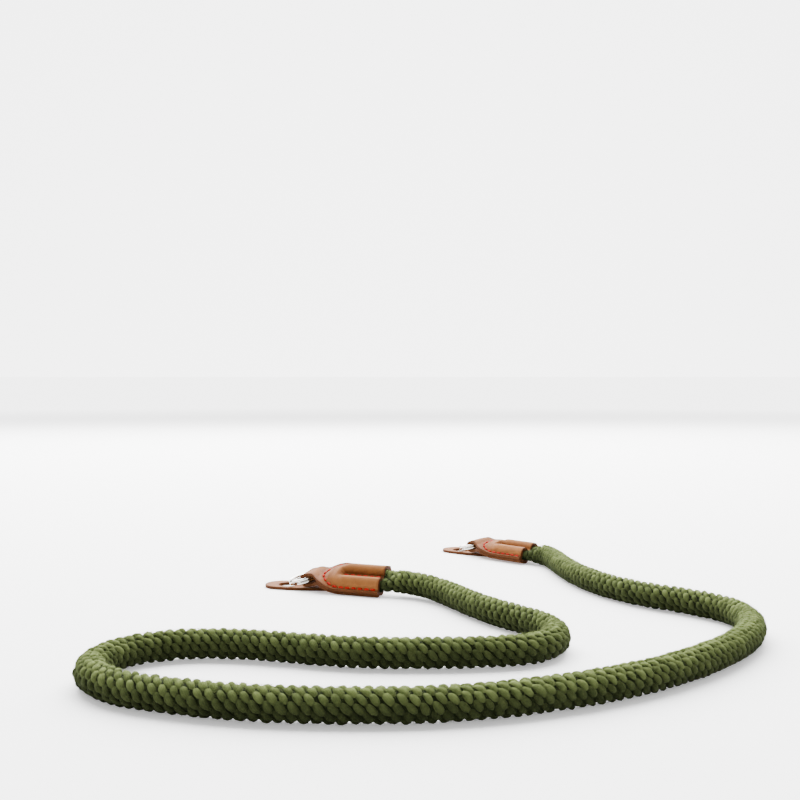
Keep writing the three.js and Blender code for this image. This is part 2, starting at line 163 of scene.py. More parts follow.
class EndLay:
    """How one end lies: its mouth, the way it points, and the rise of its middle line to the ring."""

    def __init__(self, mouth, inside, body_roll, neck_roll):
        self.mouth = np.array([*mouth, 0.0])
        outward = self.mouth - np.array([*inside, 0.0])
        self.outward = outward / np.linalg.norm(outward)
        self.level = np.cross(UP, self.outward)
        self.body_roll = math.radians(body_roll)
        self.neck_roll = math.radians(neck_roll)
        depths = []
        for share in np.linspace(-1, 1, 41):
            _, outer, shift = layer_faces(0, share * body_half, BACK_SWELL)
            across = share * body_half + shift
            depths.append(across * math.sin(self.body_roll) + outer * math.cos(self.body_roll))
        self.body_height = max(depths)
        lean = math.cos(RING_TILT) * math.cos(self.neck_roll)
        drop = ring_radius * math.sqrt(1 - lean**2) + turn_offset * lean + RING_WIRE / 2
        self.eye_height = GUARD_THICKNESS + CLEARANCE + drop + ring_radius * math.sin(RING_TILT)

    def roll(self, along):
        """How far the end is turned over towards -Y. Along is below zero on the rope outside the mouth."""
        if along < 0:
            return self.body_roll * ease(along, -ROPE_SETTLE, 0)
        loss = ease(along, UNROLL_START * BODY_LENGTH, eye_start)
        return self.body_roll * (1 - loss) + self.neck_roll * loss

    def height(self, along):
        """How high the tab's middle line is: level at first, then in one curve into the ring's tilt."""
        start = RISE_START * BODY_LENGTH
        slope = -math.tan(RING_TILT)
        if along <= start:
            return self.body_height
        if along >= eye_middle:
            return self.eye_height + (along - eye_middle) * slope
        span = eye_middle - start
        t = (along - start) / span
        rise = self.eye_height - self.body_height
        return self.body_height + rise * t * t * (3 - 2 * t) + slope * span * t * t * (t - 1)

    def frame(self, along):
        """Middle, outward, across (towards the low side) and away from the surface."""
        slope = (self.height(along + SHORT) - self.height(along - SHORT)) / (2 * SHORT)
        outward = self.outward + UP * slope
        outward /= np.linalg.norm(outward)
        raised = np.cross(outward, self.level)
        roll = self.roll(along)
        across = self.level * math.cos(roll) - raised * math.sin(roll)
        away = raised * math.cos(roll) + self.level * math.sin(roll)
        return self.mouth + self.outward * along + UP * self.height(along), outward, across, away


LAYS = {
    "near": EndLay(ROUTE[0], ROUTE[1], body_roll=30, neck_roll=6),
    "far": EndLay(ROUTE[-1], ROUTE[-2], body_roll=12, neck_roll=4),
}


def smooth_route(points, step):
    """The one smooth curve through the route's points, at even steps along it."""
    knots = np.array(points)
    knots = np.vstack([2 * knots[0] - knots[1], knots, 2 * knots[-1] - knots[-2]])
    fine = []
    for a, b, c, d in zip(knots, knots[1:], knots[2:], knots[3:]):
        spans = [math.sqrt(np.linalg.norm(q - p)) for p, q in ((a, b), (b, c), (c, d))]
        leave = (b - a) / spans[0] - (c - a) / (spans[0] + spans[1]) + (c - b) / spans[1]
        arrive = (c - b) / spans[1] - (d - b) / (spans[1] + spans[2]) + (d - c) / spans[2]
        leave, arrive = leave * spans[1], arrive * spans[1]
        for t in np.linspace(0, 1, SPAN_STEPS, endpoint=False):
            fine.append(b + leave * t + (3 * (c - b) - 2 * leave - arrive) * t**2
                        + (2 * (b - c) + leave + arrive) * t**3)
    fine = np.array([*fine, knots[-2]])
    reach = np.concatenate([[0], np.cumsum(np.linalg.norm(np.diff(fine, axis=0), axis=1))])
    places = np.linspace(0, reach[-1], int(reach[-1] / step) + 1)
    return np.column_stack([np.interp(places, reach, fine[:, axis]) for axis in (0, 1)]), places


class RopeLine:
    """The rope's middle line with its frame, from inside the near tab to inside the far one."""

    STEP = 0.5 * MM
    SECTION_STEPS = 180

    def __init__(self):
        flat, places = smooth_route(ROUTE, self.STEP)
        self.length = places[-1]
        tangents = np.gradient(flat, axis=0)
        tangents /= np.linalg.norm(tangents, axis=1)[:, None]
        swell_middle = (FRONT_SWELL - BACK_SWELL) / 2
        rows = []
        for inside in np.arange(ROPE_TUCK, 0, -self.STEP):
            rows.append((-inside, *self.tucked("near", inside, swell_middle)))
        for place, (x, y), (tx, ty) in zip(places, flat, tangents):
            near = place < self.length / 2
            lay = LAYS["near" if near else "far"]
            from_mouth = place if near else self.length - place
            outward = np.array([tx, ty, 0.0]) * (-1 if near else 1)
            level = np.cross(UP, outward)
            roll = lay.roll(-from_mouth)
            across = level * math.cos(roll) - UP * math.sin(roll)
            away = UP * math.cos(roll) + level * math.sin(roll)
            settled = ease(from_mouth, 0, ROPE_SETTLE)
            grown = ease(from_mouth, 0, ROPE_EASE)
            raised = lay.body_height + swell_middle * math.cos(lay.body_roll)
            height = raised * (1 - settled) + rope_radius * settled
            height = max(height, rope_radius * grown)
            middle = np.array([x, y, height]) + level * swell_middle * math.sin(lay.body_roll) * (1 - settled)
            rows.append((place, middle, across if near else -across, away, grown))
        for inside in np.arange(self.STEP, ROPE_TUCK + self.STEP / 2, self.STEP):
            rows.append((self.length + inside, *self.tucked("far", inside, swell_middle)))
        self.places = np.array([row[0] for row in rows])
        self.middles = np.array([row[1] for row in rows])
        self.across = np.array([row[2] for row in rows])
        self.away = np.array([row[3] for row in rows])
        self.grown = np.array([row[4] for row in rows])
        angles = np.linspace(0, 2 * math.pi, self.SECTION_STEPS + 1)
        wide = (pocket_half(0) - CLEARANCE) * np.cos(angles)
        high = [self.pressed(x, angle) - swell_middle for x, angle in zip(wide, angles)]
        self.section = (angles, wide, np.array(high))

    def tucked(self, side, inside, swell_middle):
        """The middle line's row inside a tab."""
        middle, _, across, away = LAYS[side].frame(inside)
        return middle + away * swell_middle, across if side == "near" else -across, away, 0.0

    def pressed(self, across, angle):
        """The height of the pressed section's outline at a distance across it."""
        side, swell = (1, FRONT_SWELL) if math.sin(angle) >= 0 else (-1, BACK_SWELL)
        fill = swell * from_table(ROPE_ACROSS, abs(across) / pocket_half(0))
        return side * max(0, CLEARANCE / 2 + fill - SOFT_CLEARANCE)

    def surface(self, place, angle, radius, narrow=1.0):
        """Points at a place along the rope, an angle round it and a distance out from its middle."""
        frames = [np.stack([np.interp(place, self.places, part[:, axis]) for axis in range(3)], axis=-1)
                  for part in (self.middles, self.across, self.away)]
        grown = np.interp(place, self.places, self.grown)
        share = radius / rope_radius
        turn = np.mod(angle, 2 * math.pi)
        angles, wide, high = self.section
        x = narrow * share * np.interp(turn, angles, wide) * (1 - grown) + radius * np.cos(angle) * grown
        y = narrow * share * np.interp(turn, angles, high) * (1 - grown) + radius * np.sin(angle) * grown
        return frames[0] + frames[1] * x[..., None] + frames[2] * y[..., None]


def mesh_piece(name, points, faces, material):
    """A new object at the origin, its points already in their place."""
    mesh = bpy.data.meshes.new(name)
    mesh.from_pydata([tuple(p) for p in points], [], faces)
    mesh.polygons.foreach_set("use_smooth", [True] * len(mesh.polygons))
    mesh.materials.append(material)
    piece = bpy.data.objects.new(name, mesh)
    bpy.context.scene.collection.objects.link(piece)
    return piece


class Number:
    """A number inside a material. Sums and products of it add their Math nodes."""

    def __init__(self, tree, socket):
        self.tree = tree
        self.socket = socket

    def math(self, operation, *terms):
        node = self.tree.nodes.new("ShaderNodeMath")
        node.operation = operation
        for socket, term in zip(node.inputs, terms):
            if isinstance(term, Number):
                self.tree.links.new(term.socket, socket)
            else:
                socket.default_value = term
        return Number(self.tree, node.outputs[0])

    def __add__(self, other):
        return self.math("ADD", self, other)

    def __radd__(self, other):
        return self.math("ADD", other, self)

    def __sub__(self, other):
        return self.math("SUBTRACT", self, other)

    def __rsub__(self, other):
        return self.math("SUBTRACT", other, self)

    def __mul__(self, other):
        return self.math("MULTIPLY", self, other)

    def __rmul__(self, other):
        return self.math("MULTIPLY", other, self)

    def __pow__(self, other):
        return self.math("POWER", self, other)

    def wave(self):
        return self.math("SINE", self)

    def between(self, low, high):
        return self.math("MINIMUM", self.math("MAXIMUM", self, low), high)


class Nodes:
    """A node tree, and the one method that adds any node to it."""

    def __init__(self, tree):
        self.tree = tree

    def add(self, kind, settings=(), sockets=(), out=0):
        node = self.tree.nodes.new(kind)
        for key, value in dict(settings).items():
            setattr(node, key, value)
        for key, value in dict(sockets).items():
            self.put(node.inputs[key], value)
        return Number(self.tree, node.outputs[out])

    def put(self, socket, value):
        if isinstance(value, Number):
            self.tree.links.new(value.socket, socket)
        else:
            socket.default_value = value

    def axis(self, vector, name):
        return self.add("ShaderNodeSeparateXYZ", sockets={"Vector": vector}, out=name)

    def attribute(self, name):
        return self.add("ShaderNodeAttribute", {"attribute_name": name}, out="Fac")


class Finish(Nodes):
    """A material with one Principled surface, and what varies it."""

    def __init__(self, name, **uniform):
        self.material = bpy.data.materials.new(name)
        self.material.use_nodes = True
        super().__init__(self.material.node_tree)
        self.surface = self.tree.nodes["Principled BSDF"]
        self.place = self.add("ShaderNodeTexCoord", out="Object")
        self.vary(**uniform)

    def vary(self, **sockets):
        for name, value in sockets.items():
            self.put(self.surface.inputs[name.replace("_", " ")], value)

    def noise(self, size, detail=3, rough=0.55):
        """Noise whose patches are about that size in metres."""
        sockets = {"Vector": self.place, "Scale": 1 / size, "Detail": detail, "Roughness": rough}
        return self.add("ShaderNodeTexNoise", sockets=sockets, out="Fac")

    def mix(self, share, low, high):
        kind = {"data_type": "RGBA"}
        low = (*low, 1) if isinstance(low, tuple) else low
        high = (*high, 1) if isinstance(high, tuple) else high
        return self.add("ShaderNodeMix", kind, {0: share, 6: low, 7: high}, out=2)

    def bump(self, height, distance, strength):
        sockets = {"Height": height, "Distance": distance, "Strength": strength}
        return self.add("ShaderNodeBump", sockets=sockets)


COTTON_LIGHT = (0.180, 0.226, 0.072)
COTTON_MID = (0.022, 0.032, 0.0080)
# Near-black painted shade, for the rope's inside and for the flanks and low parts of its stitches
COTTON_PAINTED_SHADE = (0.0010, 0.0014, 0.0005)


# Painted shade: the yarn's colour darkens towards the surface that it lies on
SHADE_FROM = 1 * MM
SHADE_SPAN = 11 * MM


def cotton_finish(name):
    """Soft matt cotton, and the noise of its short fibres."""
    finish = Finish(name, Roughness=0.95, Sheen_Weight=0.05, Sheen_Roughness=0.6, Specular_IOR_Level=0.06,
                    Sheen_Tint=(0.50, 0.66, 0.22, 1))
    return finish, finish.noise(0.45 * MM, detail=4, rough=0.65)


def painted_shade_cotton():
    """The inside of the rope, coloured near black as painted shade: it shows only as the dark between
    stitches.
    """
    finish, fibre = cotton_finish("cotton in painted shade in the braid")
    colour = finish.mix(fibre, COTTON_PAINTED_SHADE, tuple(0.45 * part for part in COTTON_MID))
    finish.vary(Base_Color=colour, Normal=finish.bump(fibre, 0.3 * MM, 0.5))
    return finish.material


def cotton_yarn():
    """Fine plies run along each stitch, with painted shade on its flanks and low down on the rope."""
    finish, fibre = cotton_finish("cotton yarn")
    patch = finish.noise(2.4 * MM)
    yarn = finish.add("ShaderNodeUVMap", {"uv_map": "yarn"})
    along = finish.axis(yarn, "X")
    around = finish.axis(yarn, "Y")
    # Painted shade: each stitch is lighter on its outward side and goes towards near black on its flanks
    out_facing = (around * 2 * math.pi).wave()
    plies = (around * 2 * math.pi * 13 + along * 6 + fibre * 4.5).wave() * 0.5 + 0.5
    light = out_facing * 0.25 + finish.attribute("shade") * 0.34 + fibre * 0.50 + patch * 0.60
    light = light + plies * 0.14 - 0.53
    body = finish.mix(light.between(0, 1), COTTON_MID, COTTON_LIGHT)
    height = finish.axis(finish.place, "Z")
    # Painted shade by height: the yarn goes darker towards the surface that the rope lies on
    clear = ((height - SHADE_FROM) * (1 / SHADE_SPAN) + fibre * 0.16 - 0.08).between(0, 1) ** 2.6
    painted_lit_share = ((out_facing + 0.15) * 1.6).between(0, 1) * (clear * 0.88 + 0.12)
    finish.vary(Base_Color=finish.mix(painted_lit_share, COTTON_PAINTED_SHADE, body),
                Normal=finish.bump(plies * 0.5 + fibre * 1.2, 0.28 * MM, 0.9))
    return finish.material


def tube_faces(rings, sides):
    """Faces round a tube whose points come ring by ring."""
    faces = []
    for first in range(0, (rings - 1) * sides, sides):
        for i in range(sides):
            j = (i + 1) % sides
            faces.append((first + i, first + i + sides, first + j + sides, first + j))
    return faces


rope_line = RopeLine()

CORE_RADIUS = 5.0 * MM
CORE_SIDES = 20
CORE_RINGS = 260
CORE_TUCK_RINGS = 12
core_places = np.concatenate([
    np.linspace(-ROPE_TUCK, 0, CORE_TUCK_RINGS, endpoint=False),
    np.linspace(0, rope_line.length, CORE_RINGS),
    np.linspace(rope_line.length + ROPE_TUCK, rope_line.length, CORE_TUCK_RINGS, endpoint=False)[::-1],
])
core_angles = np.arange(CORE_SIDES) / CORE_SIDES * 2 * math.pi
core_points = []
for place in core_places:
    tucked = max(-place, place - rope_line.length, 0)
    narrow = pocket_half(min(tucked, BODY_LENGTH - 2 * MM)) / pocket_half(0)
    narrow *= from_table(SWELL_ALONG, tucked / BODY_LENGTH)
    core_points.append(rope_line.surface(np.full(CORE_SIDES, place), core_angles, CORE_RADIUS, narrow))
core_points = np.concatenate(core_points)
core_faces = tube_faces(len(core_places), CORE_SIDES)
core_faces.append(tuple(range(CORE_SIDES)))
core_faces.append(tuple(reversed(range(len(core_points) - CORE_SIDES, len(core_points)))))
rope_core = mesh_piece("rope_core", core_points, core_faces, painted_shade_cotton())

# Each stitch of the braid is a plump grain of yarn on a slant. Ten stand side by side round the rope, and
# each lies end to end with the next of its slanting rib.
GRAINS_ROUND = 10
RIBS = 8
RIB_PITCH = 4.2 * MM
GRAIN_LENGTH = 6.9 * MM
GRAIN_WIDTH = 3.2 * MM
GRAIN_DEPTH = 2.5 * MM
GRAIN_DIVE = 0.75 * MM
GRAIN_MIDDLE = 5.05 * MM
GRAIN_STEEPER = 0.21
BRAID_INTO_TAB = 9 * MM
LOWEST = 0.02 * MM

# How much the grains differ: in turn, size, place along, angle round, rise and the lumps on them
UNEVEN_TURN = 0.075
UNEVEN_SIZE = 0.06
UNEVEN_ALONG = 0.18 * MM
UNEVEN_ROUND = 0.025
UNEVEN_RISE = 0.10 * MM
YARN_LUMPS = 0.09 * MM


class Pod:
    """A closed, plump length of yarn to be copied: rings of points along it and a point at each end."""

    def __init__(self, length, width, depth, dive, power, fullness, rings, sides):
        reach = np.sin(np.linspace(-1, 1, rings + 2)[1:-1] * math.pi / 2)
        t, turn = np.meshgrid(reach, np.arange(sides) / sides, indexing="ij")
        fat = (1 - t**power) ** fullness
        high = fat * np.sin(2 * math.pi * turn) * depth / 2 - dive * t**power
        self.shape = np.stack([
            np.concatenate([(t * length / 2).ravel(), [-length / 2, length / 2]]),
            np.concatenate([(fat * np.cos(2 * math.pi * turn) * width / 2).ravel(), [0, 0]]),
            np.concatenate([high.ravel(), [-dive, -dive]]),
        ])
        self.uv = np.stack([
            np.concatenate([(t / 2 + 0.5).ravel(), [0, 1]]),
            np.concatenate([turn.ravel(), [0.25, 0.25]]),
        ])
        self.size = self.shape.shape[1]
        self.faces = tube_faces(rings, sides)
        last = (rings - 1) * sides
        for i in range(sides):
            j = (i + 1) % sides
            self.faces.append((rings * sides, i, j))
            self.faces.append((rings * sides + 1, last + j, last + i))

    def copies(self, name, points, material):
        """One piece of all the copies whose points are given. V runs once round each, never backwards."""
        faces = [tuple(corner + first for corner in face)
                 for first in range(0, len(points), self.size) for face in self.faces]
        piece = mesh_piece(name, points, faces, material)
        mesh = piece.data
        corners = np.empty(len(mesh.loops), dtype=np.int64)
        mesh.loops.foreach_get("vertex_index", corners)
        uv = self.uv[:, corners % self.size].T.copy()
        starts = np.empty(len(mesh.polygons), dtype=np.int64)
        totals = np.empty(len(mesh.polygons), dtype=np.int64)
        mesh.polygons.foreach_get("loop_start", starts)
        mesh.polygons.foreach_get("loop_total", totals)
        highest = np.repeat(np.maximum.reduceat(uv[:, 1], starts), totals)
        uv[(highest > 0.7) & (uv[:, 1] < 0.2), 1] += 1
        mesh.uv_layers.new(name="yarn").data.foreach_set("uv", uv.ravel())
        return piece


grain = Pod(GRAIN_LENGTH, GRAIN_WIDTH, GRAIN_DEPTH, GRAIN_DIVE, power=2, fullness=0.54, rings=9, sides=9)
wale = 2 * math.pi * rope_radius / GRAINS_ROUND
rib_shift = RIBS * RIB_PITCH / GRAINS_ROUND
slant = math.atan2(wale, rib_shift)

grain_places = []
for course in range(-6, int(rope_line.length / RIB_PITCH) + 8):
    for k in range(GRAINS_ROUND):
        along = course * RIB_PITCH + (-k * rib_shift) % RIB_PITCH
        if -BRAID_INTO_TAB < along < rope_line.length + BRAID_INTO_TAB:
            grain_places.append((along, 2 * math.pi * k / GRAINS_ROUND))
stretches = dict(zip(("near", "middle", "far"), np.array_split(np.array(sorted(grain_places)), 3)))

rng = np.random.default_rng(11)
cotton = cotton_yarn()


def braid_piece(name, places):
    """One stretch of the braid: a grain of yarn at each place, laid on the rope's own curve."""
    count = len(places)
    x, y, z = grain.shape
    uneven = rng.normal(size=(count, 5))
    spin = (uneven[:, 0] * UNEVEN_TURN - slant - GRAIN_STEEPER)[:, None]
    scale = (1 + uneven[:, 1] * UNEVEN_SIZE)[:, None]
    along = x * np.cos(spin) - y * np.sin(spin)
    around = x * np.sin(spin) + y * np.cos(spin)
    place = places[:, 0, None] + along * scale + uneven[:, 2, None] * UNEVEN_ALONG
    angle = places[:, 1, None] + around * scale / rope_radius + uneven[:, 3, None] * UNEVEN_ROUND
    lumps = rng.normal(size=(count, grain.size)) * YARN_LUMPS
    radius = GRAIN_MIDDLE + z + lumps + np.clip(uneven[:, 4, None], -1.5, 1.2) * UNEVEN_RISE
    points = rope_line.surface(place.ravel(), angle.ravel(), radius.ravel())
    points[:, 2] = np.maximum(points[:, 2], LOWEST)
    piece = grain.copies(name, points, cotton)
    shade = piece.data.attributes.new("shade", "FLOAT", "POINT")
    shade.data.foreach_set("value", np.repeat(rng.random(count), grain.size))
    return piece


braid = [braid_piece(f"rope_braid_{name}", places) for name, places in stretches.items()]

# Loose cotton fibres stand off the yarn all over and soften its outline
FIBRES = 33000
FIBRE_WIDTH = 0.045 * MM
FIBRE_LENGTH = (0.65 * MM, 1.55 * MM)
FIBRE_ROOT = 5.9 * MM
FIBRE_SCATTER = 1.6 * MM
FIBRE_LOWEST = (0.03 * MM, 0.1 * MM)
FLUFF_LIGHT = (0.190, 0.234, 0.080)
FLUFF_PAINTED_SHADE = (0.0050, 0.0072, 0.0023)
FLUFF_SHADE_FROM = 2 * MM
FLUFF_SHADE_SPAN = 10.5 * MM

# Painted shade: the fibres' colour darkens towards the surface that the rope lies on, as the yarn's does
fluff = Finish("loose cotton fibres", Roughness=0.9, Specular_IOR_Level=0.06)
fluff_height = fluff.axis(fluff.place, "Z")
fluff_painted_light = ((fluff_height - FLUFF_SHADE_FROM) * (1 / FLUFF_SHADE_SPAN)).between(0, 1) ** 2.5
fluff.vary(Base_Color=fluff.mix(fluff_painted_light, FLUFF_PAINTED_SHADE, FLUFF_LIGHT))


def unit(vectors):
    return vectors / np.linalg.norm(vectors, axis=1)[:, None]


def fibre_piece(name, places):
    """Fine tapered needles rooted at random on the outward side of the yarn."""
    chosen = places[rng.integers(len(places), size=FIBRES)]
    place = chosen[:, 0] + rng.normal(size=FIBRES) * FIBRE_SCATTER
    place = np.clip(place, 0.5 * MM, rope_line.length - 0.5 * MM)
    angle = rng.random(FIBRES) * 2 * math.pi
    root = rope_line.surface(place, angle, np.full(FIBRES, FIBRE_ROOT))
    out = unit(rope_line.surface(place, angle, np.full(FIBRES, FIBRE_ROOT + 1 * MM)) - root)
    lean = unit(rng.normal(size=(FIBRES, 3)))
    aim = unit(out * rng.uniform(0.05, 0.6, FIBRES)[:, None] + lean * 0.75)
    side = unit(np.cross(aim, UP + 0.01))
    other = np.cross(aim, side)
    tip = root + aim * rng.uniform(*FIBRE_LENGTH, FIBRES)[:, None]
    tip[:, 2] = np.maximum(tip[:, 2], FIBRE_LOWEST[1])
    thirds = [third / 3 * 2 * math.pi for third in range(3)]
    base = [root + (side * math.cos(turn) + other * math.sin(turn)) * FIBRE_WIDTH / 2 for turn in thirds]
    points = np.stack([*base, tip], axis=1).reshape(-1, 3)
    points[:, 2] = np.maximum(points[:, 2], FIBRE_LOWEST[0])
    faces = []
    for first in range(0, 4 * FIBRES, 4):
        faces += [(first, first + 2, first + 1), (first, first + 1, first + 3),
                  (first + 1, first + 2, first + 3), (first + 2, first, first + 3)]
    return mesh_piece(name, points, faces, fluff.material)


braid += [fibre_piece(f"rope_fibres_{name}", places) for name, places in stretches.items()]

core_path = rope_line.surface(core_places, np.zeros(len(core_places)), np.zeros(len(core_places)))
for piece in [rope_core, *braid]:
    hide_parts("rope")
    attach(piece, "root")

# Leather tabs
# Each rope end is held in one strip of thick tan leather. The strip is folded at its neck round the ring's
# wire, and both layers are sewn together round the rope's end and down the middle of it.
TAPER_LEAD = 4 * MM
SEAM_START = 1.2 * MM
SEAM_STOP = 23 * MM
SEAM_TO_FLANGE = 0.45 * MM
GROOVE_DEPTH = 0.30 * MM
GROOVE_HALF = 0.70 * MM
TAB_EDGE_ROUND = 0.28 * MM
TAB_DARK_RIM = 0.8 * MM
STRIP_ROWS = 210
STRIP_COLUMNS = 50

TAN_LIGHT = (0.236, 0.092, 0.024)
TAN_MID = (0.108, 0.033, 0.0088)
TAN_DARK = (0.042, 0.013, 0.003)


def leather_finish(name):
    """Matt tanned leather, and the noise of its fine specks."""
    finish = Finish(name, Roughness=0.75, Specular_IOR_Level=0.08)
    return finish, finish.noise(0.5 * MM, detail=4, rough=0.7)


def tanned_face():
    """Fine pores and soft mottling, lighter where it swells and darker at its borders and seams."""
    finish, speck = leather_finish("tan leather face")
    mottle = finish.noise(5 * MM, detail=4, rough=0.6)
    cells = {"Vector": finish.place, "Scale": 1 / (0.75 * MM)}
    pores = (finish.add("ShaderNodeTexVoronoi", {"feature": "DISTANCE_TO_EDGE"}, cells) * 3).between(0, 1)
    tone = (mottle * 1.1 + speck * 0.6 + finish.attribute("relief") * 0.55 - 0.66).between(0, 1)
    border = (finish.attribute("border") * 0.6).between(0, 1)
    finish.vary(Base_Color=finish.mix(border, finish.mix(tone, TAN_MID, TAN_LIGHT), TAN_DARK),
                Roughness=mottle * 0.25 + 0.60,
                Normal=finish.bump(pores * 0.6 + speck * 0.8 + mottle * 1.4, 0.16 * MM, 0.9))
    return finish.material


def cut_edge():
    """Darker than the face, and fibrous."""
    finish, speck = leather_finish("tan leather cut edge")
    colour = finish.mix(speck, TAN_DARK, tuple(0.75 * part for part in TAN_MID))
    finish.vary(Base_Color=colour, Roughness=speck * 0.3 + 0.6, Normal=finish.bump(speck, 0.35 * MM, 0.6))
    return finish.material


leather_face = tanned_face()
leather_edge = cut_edge()


def half_width(along):
    share = ease(along, BODY_LENGTH - TAPER_LEAD, fold_middle)
    return body_half * (1 - share) + neck_half * share


def outline_seam():
    """The seam that runs up one side of the rope's end, round it in a bow and down the other side."""
    line = []
    side = body_half - SEAM_INSET + SEAM_TO_FLANGE
    for along in np.linspace(SEAM_START, BODY_LENGTH - SEAM_END_LENGTH, 60, endpoint=False):
        line.append((along, side))
    for turn in np.linspace(0, math.pi, 80):
        line.append((BODY_LENGTH - SEAM_END_LENGTH + SEAM_END_LENGTH * math.sin(turn), side * math.cos(turn)))
    for along in np.linspace(BODY_LENGTH - SEAM_END_LENGTH, SEAM_START, 61)[1:]:
        line.append((along, -side))
    return np.array(line)


SEAMS = [outline_seam(), np.array([(along, 0.0) for along in np.linspace(SEAM_START, SEAM_STOP, 60)])]
seam_points = np.concatenate(SEAMS)


def groove(along, across):
    """How deep the thread has pulled the leather's outer face in."""
    gap = np.min(np.hypot(seam_points[:, 0] - along, seam_points[:, 1] - across))
    return GROOVE_DEPTH * math.exp(-(gap / GROOVE_HALF) ** 2)


def tab_layer(lay, side, along, across):
    """Inner point, outer point and outward direction of the tab's front (1) or back (-1) layer."""
    middle, _, level, away = lay.frame(along)
    inner, outer, shift = layer_faces(along, across, FRONT_SWELL if side > 0 else BACK_SWELL)
    near = middle + level * across + away * side * inner
    far = middle + level * (across + shift) + away * side * outer
    facing = (far - near) / np.linalg.norm(far - near)
    return near, far - facing * groove(along, across), facing


fold_length = math.pi * (eye_half_height + LEATHER / 2)
strip_length = 2 * fold_middle + fold_length


def strip_place(share):
    """Where a share of the strip's length lies: its layer, how far along, and its turn in the fold."""
    run = share * strip_length
    if run <= fold_middle:
        return 1, run, 0
    if run >= fold_middle + fold_length:
        return -1, strip_length - run, math.pi
    return 0, fold_middle, (run - fold_middle) / fold_length * math.pi


def apply_modifiers(piece):
    bpy.ops.object.select_all(action="DESELECT")
    bpy.context.view_layer.objects.active = piece
    piece.select_set(True)
    for modifier in list(piece.modifiers):
        bpy.ops.object.modifier_apply(modifier=modifier.name)


def cover_leather(mesh, relief, border):
    """Say at each point how far the leather swells and how near its border is, and give it its finishes."""
    for key, values in (("relief", relief), ("border", border)):
        mesh.attributes.new(key, "FLOAT", "POINT").data.foreach_set("value", values)
    mesh.materials.append(leather_face)
    mesh.materials.append(leather_edge)


def thicken(piece, thickness):
    solid = piece.modifiers.new("thickness", "SOLIDIFY")
    solid.thickness = thickness
    solid.offset = 1
    solid.material_offset_rim = 1
    apply_modifiers(piece)


def round_edges(piece, width, segments):
    edge = piece.modifiers.new("worn edge", "BEVEL")
    edge.width = width
    edge.segments = segments
    edge.limit_method = "ANGLE"
    edge.angle_limit = math.radians(50)
    apply_modifiers(piece)
    bpy.ops.object.shade_smooth_by_angle(angle=math.radians(40))


def leather_tab(name, lay):
    """The flat strip is laid on the tab's inner faces, given its wall, and its outer faces put in place."""
    bpy.ops.object.select_all(action="DESELECT")
    bpy.ops.mesh.primitive_grid_add(x_subdivisions=STRIP_ROWS, y_subdivisions=STRIP_COLUMNS, size=2)
    tab = bpy.context.object
    tab.name = f"leather_{name}"
    mesh = tab.data
    flat = np.empty(len(mesh.vertices) * 3)
    mesh.vertices.foreach_get("co", flat)
    flat = flat.reshape(-1, 3)
    inner, outer, relief, border = [], [], [], []
    for x, y, _ in flat:
        side, along, turn = strip_place(x / 2 + 0.5)
        half = half_width(along)
        if side:
            near, far, _ = tab_layer(lay, side, along, y * half)
            swell = layer_faces(along, y * half, FRONT_SWELL if side > 0 else BACK_SWELL)[0]
        else:
            middle, outward, level, away = lay.frame(along)
            facing = outward * math.sin(turn) + away * math.cos(turn)
            near = middle + level * y * half + facing * eye_half_height
            far = near + facing * LEATHER
            swell = 0
        inner.append(near)
        outer.append(far)
        relief.append(swell / FRONT_SWELL)
        rim = min(half - abs(y) * half, along if side else half)
        border.append(math.exp(-(rim / TAB_DARK_RIM) ** 2) + groove(along, y * half) / GROOVE_DEPTH * 0.45)
    mesh.vertices.foreach_set("co", np.array(inner).ravel())
    cover_leather(mesh, relief, border)
    thicken(tab, LEATHER)
    points = np.empty(len(mesh.vertices) * 3)
    mesh.vertices.foreach_get("co", points)
    points = points.reshape(2, len(inner), 3)
    moved = int(np.abs(points[1] - inner).max() > np.abs(points[0] - inner).max())
    points[moved] = outer
    mesh.vertices.foreach_set("co", points.ravel())
    round_edges(tab, TAB_EDGE_ROUND, 2)
    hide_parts(name)
    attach(tab, "root")


for side, lay in LAYS.items():
    leather_tab(f"tab_{side}", lay)

# Stitching
# Thick red thread is sewn through both layers in even running stitches. Every stitch lies in the groove that
# it has pulled into the leather, and its ends go down into the holes.
THREAD = 1.15 * MM
STITCH_PITCH = 3.5 * MM
STITCH_SEEN = 2.75 * MM
STITCH_DIP = 0.30 * MM
STITCH_PROUD = 0.30
RED_LIGHT = (0.42, 0.0080, 0.0007)
RED_DARK = (0.19, 0.0020, 0.0004)

thread = Finish("red waxed thread", Roughness=0.8, Specular_IOR_Level=0.12)
thread_fibre = thread.noise(0.3 * MM)
thread_uv = thread.add("ShaderNodeUVMap", {"uv_map": "yarn"})
twist = ((thread.axis(thread_uv, "Y") * 3 + thread.axis(thread_uv, "X") * 4) * 2 * math.pi).wave() * 0.5 + 0.5
red = thread.mix((twist * 0.5 + thread_fibre * 0.6).between(0, 1), RED_DARK, RED_LIGHT)
thread.vary(Base_Color=red, Normal=thread.bump(twist + thread_fibre * 0.5, 0.12 * MM, 0.8))

stitch = Pod(STITCH_SEEN, THREAD, THREAD, STITCH_DIP, power=4, fullness=0.5, rings=11, sides=12)


